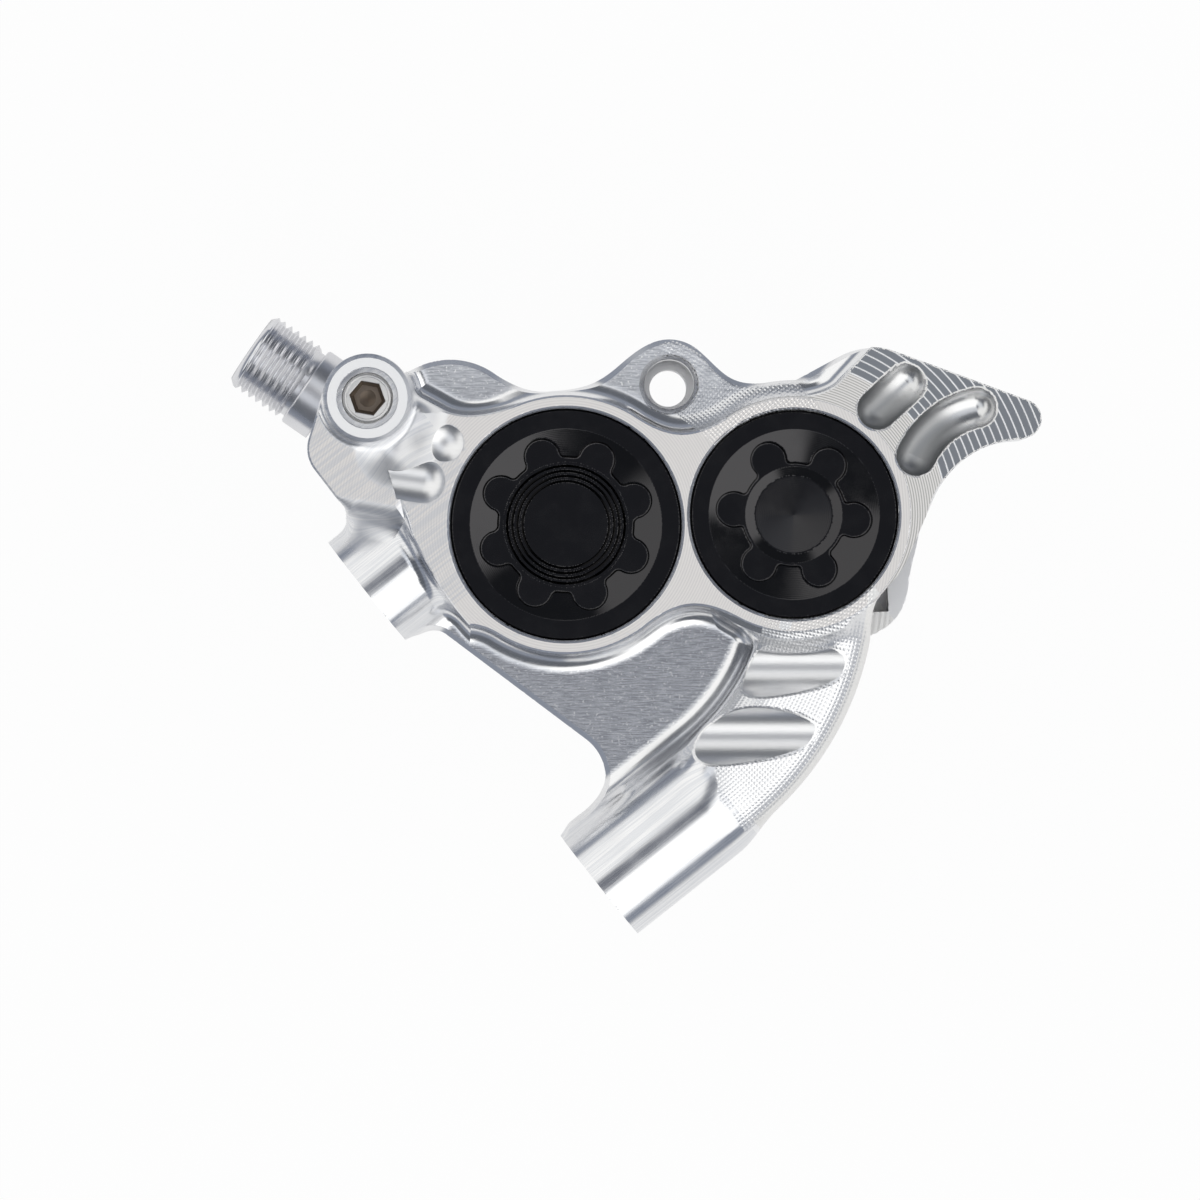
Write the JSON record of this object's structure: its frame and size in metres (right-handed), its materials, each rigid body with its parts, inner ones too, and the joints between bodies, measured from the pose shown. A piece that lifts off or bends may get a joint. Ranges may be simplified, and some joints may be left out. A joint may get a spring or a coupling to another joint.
{
  "type": "disc brake caliper",
  "caption": "Flat-mount hydraulic disc brake caliper for a bicycle: one-piece milled body with a pointed cooling beak, screwed bore caps, opposed pistons and brake pads.",
  "frame": {"origin": "midway between the two mount bolts, on the plane of the mount bosses' end faces that sits on the frame", "axes": "+X along the line of the two mount bolts, from the hose end to the arm; +Y along the bores, parallel to the wheel's axle, from the caps towards the wheel; +Z away from the mounting plane. The rotor's middle plane is at Y = 13 mm and the wheel's axle at X = 45.1 mm, Z = -10.7 mm."},
  "size_m": [0.064, 0.039, 0.0576],
  "materials": {
    "alloy_polished": "bright milled and polished, clear anodised",
    "alloy_black": "gloss black anodised",
    "piston_steel": "ground",
    "seal_rubber": "smooth",
    "screw_steel": "satin",
    "fitting_metal": "bright turned",
    "backplate_steel": "satin",
    "friction_lining": "rough pressed compound"
  },
  "bodies": {
    "caliper": {"caliper_body": "alloy_polished", "large_bore_cap": "alloy_black", "small_bore_cap": "alloy_black", "large_cap_oring": "seal_rubber", "small_cap_oring": "seal_rubber", "outer_large_seal": "seal_rubber", "outer_small_seal": "seal_rubber", "inner_large_seal": "seal_rubber", "inner_small_seal": "seal_rubber", "outer_large_wiper": "seal_rubber", "outer_small_wiper": "seal_rubber", "inner_large_wiper": "seal_rubber", "inner_small_wiper": "seal_rubber", "hose_fitting": "fitting_metal", "hose_fitting_oring": "seal_rubber"},
    "outer_large_piston": {"outer_large_piston": "piston_steel"},
    "outer_small_piston": {"outer_small_piston": "piston_steel"},
    "inner_large_piston": {"inner_large_piston": "piston_steel"},
    "inner_small_piston": {"inner_small_piston": "piston_steel"},
    "outer_pad": {"outer_pad_backplate": "backplate_steel", "outer_pad_lining": "friction_lining"},
    "inner_pad": {"inner_pad_backplate": "backplate_steel", "inner_pad_lining": "friction_lining"},
    "bleed_screw": {"bleed_screw": "screw_steel", "bleed_screw_oring": "seal_rubber"}
  },
  "joints": [
    {"name": "outer_large_piston_slide", "type": "slide", "parent": "caliper", "child": "outer_large_piston", "axis": [0, 1, 0], "range_m": [0, 0.0016]},
    {"name": "outer_small_piston_slide", "type": "slide", "parent": "caliper", "child": "outer_small_piston", "axis": [0, 1, 0], "range_m": [0, 0.0016]},
    {"name": "inner_large_piston_slide", "type": "slide", "parent": "caliper", "child": "inner_large_piston", "axis": [0, -1, 0], "range_m": [0, 0.0016]},
    {"name": "inner_small_piston_slide", "type": "slide", "parent": "caliper", "child": "inner_small_piston", "axis": [0, -1, 0], "range_m": [0, 0.0016]},
    {"name": "outer_pad_slide", "type": "slide", "parent": "caliper", "child": "outer_pad", "axis": [0, 1, 0], "range_m": [0, 0.0016]},
    {"name": "inner_pad_slide", "type": "slide", "parent": "caliper", "child": "inner_pad", "axis": [0, -1, 0], "range_m": [0, 0.0016]},
    {"name": "bleed_screw_turn", "type": "hinge", "parent": "caliper", "child": "bleed_screw", "pos_m": [-0.0303, -0.006, 0.0109], "axis": [0, -1, 0], "range_deg": [0, 360]}
  ],
  "couplings": [
    {"joint": "outer_small_piston_slide", "follows": "outer_large_piston_slide", "ratio": 1},
    {"joint": "inner_large_piston_slide", "follows": "outer_large_piston_slide", "ratio": 1},
    {"joint": "inner_small_piston_slide", "follows": "outer_large_piston_slide", "ratio": 1},
    {"joint": "outer_pad_slide", "follows": "outer_large_piston_slide", "ratio": 1},
    {"joint": "inner_pad_slide", "follows": "outer_large_piston_slide", "ratio": 1}
  ]
}
